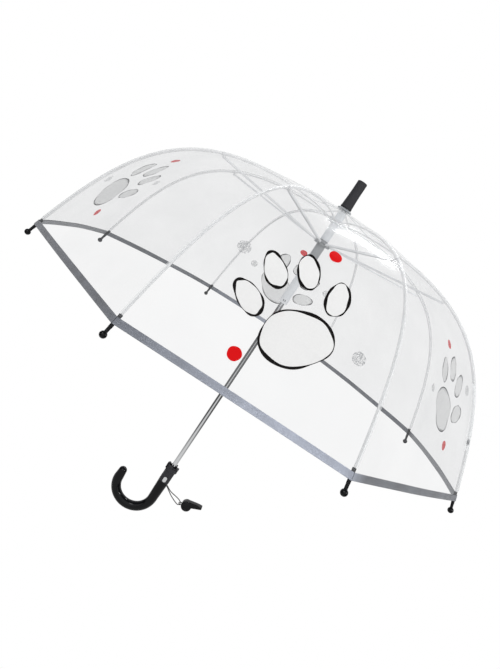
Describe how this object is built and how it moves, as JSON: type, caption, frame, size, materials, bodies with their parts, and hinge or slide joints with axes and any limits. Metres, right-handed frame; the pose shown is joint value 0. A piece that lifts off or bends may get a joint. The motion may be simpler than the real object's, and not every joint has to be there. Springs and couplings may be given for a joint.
{
  "type": "children's dome umbrella",
  "caption": "Children's dome umbrella with a clear film canopy, eight folding ribs, automatic sliding runner, crook handle with push button and a whistle on a cord.",
  "frame": {"origin": "on the shaft's axis at the top of the handle's collar, where a closed runner seats", "axes": "+Z along the shaft to the ferrule, -Y towards the middle of the front panel, -X towards the crook's free end"},
  "size_m": [0.6996, 0.6996, 0.6642],
  "materials": {
    "chrome_tube": "polished plated steel tube",
    "black_plastic": "glossy black moulded plastic",
    "satin_black": "satin black moulded plastic",
    "hub_plastic": "pale grey moulded nylon",
    "dark_plastic": "dark grey moulded nylon",
    "rib_white": "white glass-fibre rod with clips",
    "steel": "bright drawn steel",
    "painted_steel": "pale painted steel channel",
    "film": "clear flexible film, 0.12 mm",
    "grey_gasket": "grey translucent crinkled washer",
    "cord": "black braided cord",
    "cork": "natural cork ball"
  },
  "bodies": {
    "shaft": {"shaft_tube": "chrome_tube", "ferrule_cap": "satin_black", "rosette": "grey_gasket", "top_notch": "hub_plastic", "notch_wire": "steel", "main_spring": "steel", "handle_collar": "satin_black", "handle_crook": "black_plastic"},
    "button": {"push_button": "chrome_tube", "latch": "steel"},
    "runner": {"runner_body": "dark_plastic", "runner_sleeve": "hub_plastic", "runner_wire": "steel", "runner_pin": "steel"},
    "whistle": {"whistle_cord": "cord", "whistle_body": "black_plastic", "whistle_ball": "cork"},
    "inner_rib_1": {"rib_upper_1": "rib_white"},
    "outer_rib_1": {"rib_lower_1": "rib_white", "tip_1": "black_plastic", "panel_1": "film"},
    "strut_1": {"stretcher_1": "painted_steel"},
    "inner_rib_2": {"rib_upper_2": "rib_white"},
    "outer_rib_2": {"rib_lower_2": "rib_white", "tip_2": "black_plastic", "panel_2": "film"},
    "strut_2": {"stretcher_2": "painted_steel"},
    "inner_rib_3": {"rib_upper_3": "rib_white"},
    "outer_rib_3": {"rib_lower_3": "rib_white", "tip_3": "black_plastic", "panel_3": "film", "closing_strap": "film", "strap_snap": "steel"},
    "strut_3": {"stretcher_3": "painted_steel"},
    "inner_rib_4": {"rib_upper_4": "rib_white"},
    "outer_rib_4": {"rib_lower_4": "rib_white", "tip_4": "black_plastic", "panel_4": "film"},
    "strut_4": {"stretcher_4": "painted_steel"},
    "inner_rib_5": {"rib_upper_5": "rib_white"},
    "outer_rib_5": {"rib_lower_5": "rib_white", "tip_5": "black_plastic", "panel_5": "film"},
    "strut_5": {"stretcher_5": "painted_steel"},
    "inner_rib_6": {"rib_upper_6": "rib_white"},
    "outer_rib_6": {"rib_lower_6": "rib_white", "tip_6": "black_plastic", "panel_6": "film"},
    "strut_6": {"stretcher_6": "painted_steel"},
    "inner_rib_7": {"rib_upper_7": "rib_white"},
    "outer_rib_7": {"rib_lower_7": "rib_white", "tip_7": "black_plastic", "panel_7": "film"},
    "strut_7": {"stretcher_7": "painted_steel"},
    "inner_rib_8": {"rib_upper_8": "rib_white"},
    "outer_rib_8": {"rib_lower_8": "rib_white", "tip_8": "black_plastic", "panel_8": "film"},
    "strut_8": {"stretcher_8": "painted_steel"}
  },
  "joints": [
    {"name": "fold", "type": "hinge", "parent": "shaft", "child": "inner_rib_1", "pos_m": [-0.00421, -0.01016, 0.482], "axis": [0.9239, -0.3827, 0], "range_deg": [0, 80.26], "stiffness_Nm_per_rad": 0.5, "springref_deg": -68.75, "deforming": ["main_spring", "panel_1", "panel_2", "panel_3", "panel_4", "panel_5", "panel_6", "panel_7", "panel_8", "closing_strap", "strap_snap"]},
    {"name": "rib_flex_1", "type": "hinge", "parent": "inner_rib_1", "child": "outer_rib_1", "pos_m": [-0.07934, -0.19154, 0.46492], "axis": [0.9239, -0.3827, 0], "range_deg": [-43.31, 0]},
    {"name": "strut_hinge_1", "type": "hinge", "parent": "inner_rib_1", "child": "strut_1", "pos_m": [-0.07719, -0.18634, 0.46284], "axis": [0.9239, -0.3827, 0], "range_deg": [-160.53, 0]},
    {"name": "rib_hinge_2", "type": "hinge", "parent": "shaft", "child": "inner_rib_2", "pos_m": [0.00421, -0.01016, 0.482], "axis": [0.9239, 0.3827, 0], "range_deg": [0, 80.26]},
    {"name": "rib_flex_2", "type": "hinge", "parent": "inner_rib_2", "child": "outer_rib_2", "pos_m": [0.07934, -0.19154, 0.46492], "axis": [0.9239, 0.3827, 0], "range_deg": [-43.31, 0]},
    {"name": "strut_hinge_2", "type": "hinge", "parent": "inner_rib_2", "child": "strut_2", "pos_m": [0.07719, -0.18634, 0.46284], "axis": [0.9239, 0.3827, 0], "range_deg": [-160.53, 0]},
    {"name": "rib_hinge_3", "type": "hinge", "parent": "shaft", "child": "inner_rib_3", "pos_m": [0.01016, -0.00421, 0.482], "axis": [0.3827, 0.9239, 0], "range_deg": [0, 80.26]},
    {"name": "rib_flex_3", "type": "hinge", "parent": "inner_rib_3", "child": "outer_rib_3", "pos_m": [0.19154, -0.07934, 0.46492], "axis": [0.3827, 0.9239, 0], "range_deg": [-43.31, 0]},
    {"name": "strut_hinge_3", "type": "hinge", "parent": "inner_rib_3", "child": "strut_3", "pos_m": [0.18634, -0.07719, 0.46284], "axis": [0.3827, 0.9239, 0], "range_deg": [-160.53, 0]},
    {"name": "rib_hinge_4", "type": "hinge", "parent": "shaft", "child": "inner_rib_4", "pos_m": [0.01016, 0.00421, 0.482], "axis": [-0.3827, 0.9239, 0], "range_deg": [0, 80.26]},
    {"name": "rib_flex_4", "type": "hinge", "parent": "inner_rib_4", "child": "outer_rib_4", "pos_m": [0.19154, 0.07934, 0.46492], "axis": [-0.3827, 0.9239, 0], "range_deg": [-43.31, 0]},
    {"name": "strut_hinge_4", "type": "hinge", "parent": "inner_rib_4", "child": "strut_4", "pos_m": [0.18634, 0.07719, 0.46284], "axis": [-0.3827, 0.9239, 0], "range_deg": [-160.53, 0]},
    {"name": "rib_hinge_5", "type": "hinge", "parent": "shaft", "child": "inner_rib_5", "pos_m": [0.00421, 0.01016, 0.482], "axis": [-0.9239, 0.3827, 0], "range_deg": [0, 80.26]},
    {"name": "rib_flex_5", "type": "hinge", "parent": "inner_rib_5", "child": "outer_rib_5", "pos_m": [0.07934, 0.19154, 0.46492], "axis": [-0.9239, 0.3827, 0], "range_deg": [-43.31, 0]},
    {"name": "strut_hinge_5", "type": "hinge", "parent": "inner_rib_5", "child": "strut_5", "pos_m": [0.07719, 0.18634, 0.46284], "axis": [-0.9239, 0.3827, 0], "range_deg": [-160.53, 0]},
    {"name": "rib_hinge_6", "type": "hinge", "parent": "shaft", "child": "inner_rib_6", "pos_m": [-0.00421, 0.01016, 0.482], "axis": [-0.9239, -0.3827, 0], "range_deg": [0, 80.26]},
    {"name": "rib_flex_6", "type": "hinge", "parent": "inner_rib_6", "child": "outer_rib_6", "pos_m": [-0.07934, 0.19154, 0.46492], "axis": [-0.9239, -0.3827, 0], "range_deg": [-43.31, 0]},
    {"name": "strut_hinge_6", "type": "hinge", "parent": "inner_rib_6", "child": "strut_6", "pos_m": [-0.07719, 0.18634, 0.46284], "axis": [-0.9239, -0.3827, 0], "range_deg": [-160.53, 0]},
    {"name": "rib_hinge_7", "type": "hinge", "parent": "shaft", "child": "inner_rib_7", "pos_m": [-0.01016, 0.00421, 0.482], "axis": [-0.3827, -0.9239, 0], "range_deg": [0, 80.26]},
    {"name": "rib_flex_7", "type": "hinge", "parent": "inner_rib_7", "child": "outer_rib_7", "pos_m": [-0.19154, 0.07934, 0.46492], "axis": [-0.3827, -0.9239, 0], "range_deg": [-43.31, 0]},
    {"name": "strut_hinge_7", "type": "hinge", "parent": "inner_rib_7", "child": "strut_7", "pos_m": [-0.18634, 0.07719, 0.46284], "axis": [-0.3827, -0.9239, 0], "range_deg": [-160.53, 0]},
    {"name": "rib_hinge_8", "type": "hinge", "parent": "shaft", "child": "inner_rib_8", "pos_m": [-0.01016, -0.00421, 0.482], "axis": [0.3827, -0.9239, 0], "range_deg": [0, 80.26]},
    {"name": "rib_flex_8", "type": "hinge", "parent": "inner_rib_8", "child": "outer_rib_8", "pos_m": [-0.19154, -0.07934, 0.46492], "axis": [0.3827, -0.9239, 0], "range_deg": [-43.31, 0]},
    {"name": "strut_hinge_8", "type": "hinge", "parent": "inner_rib_8", "child": "strut_8", "pos_m": [-0.18634, -0.07719, 0.46284], "axis": [0.3827, -0.9239, 0], "range_deg": [-160.53, 0]},
    {"name": "runner_hinge", "type": "hinge", "parent": "strut_1", "child": "runner", "pos_m": [-0.00421, -0.01016, 0.44369], "axis": [0.9239, -0.3827, 0], "range_deg": [0, 80.26]},
    {"name": "button_press", "type": "slide", "parent": "shaft", "child": "button", "axis": [0, 1, 0], "range_m": [0, 0.0011], "stiffness_N_per_m": 600, "springref_m": -0.0005},
    {"name": "whistle_swing", "type": "hinge", "parent": "shaft", "child": "whistle", "pos_m": [0.0092, 0, -0.0352], "axis": [0, 1, 0], "range_deg": [-30, 35]}
  ],
  "couplings": [
    {"joint": "rib_flex_1", "follows": "fold", "ratio": -0.5395},
    {"joint": "strut_hinge_1", "follows": "fold", "ratio": -2},
    {"joint": "rib_hinge_2", "follows": "fold", "ratio": 1},
    {"joint": "rib_flex_2", "follows": "fold", "ratio": -0.5395},
    {"joint": "strut_hinge_2", "follows": "fold", "ratio": -2},
    {"joint": "rib_hinge_3", "follows": "fold", "ratio": 1},
    {"joint": "rib_flex_3", "follows": "fold", "ratio": -0.5395},
    {"joint": "strut_hinge_3", "follows": "fold", "ratio": -2},
    {"joint": "rib_hinge_4", "follows": "fold", "ratio": 1},
    {"joint": "rib_flex_4", "follows": "fold", "ratio": -0.5395},
    {"joint": "strut_hinge_4", "follows": "fold", "ratio": -2},
    {"joint": "rib_hinge_5", "follows": "fold", "ratio": 1},
    {"joint": "rib_flex_5", "follows": "fold", "ratio": -0.5395},
    {"joint": "strut_hinge_5", "follows": "fold", "ratio": -2},
    {"joint": "rib_hinge_6", "follows": "fold", "ratio": 1},
    {"joint": "rib_flex_6", "follows": "fold", "ratio": -0.5395},
    {"joint": "strut_hinge_6", "follows": "fold", "ratio": -2},
    {"joint": "rib_hinge_7", "follows": "fold", "ratio": 1},
    {"joint": "rib_flex_7", "follows": "fold", "ratio": -0.5395},
    {"joint": "strut_hinge_7", "follows": "fold", "ratio": -2},
    {"joint": "rib_hinge_8", "follows": "fold", "ratio": 1},
    {"joint": "rib_flex_8", "follows": "fold", "ratio": -0.5395},
    {"joint": "strut_hinge_8", "follows": "fold", "ratio": -2},
    {"joint": "runner_hinge", "follows": "fold", "ratio": 1}
  ]
}
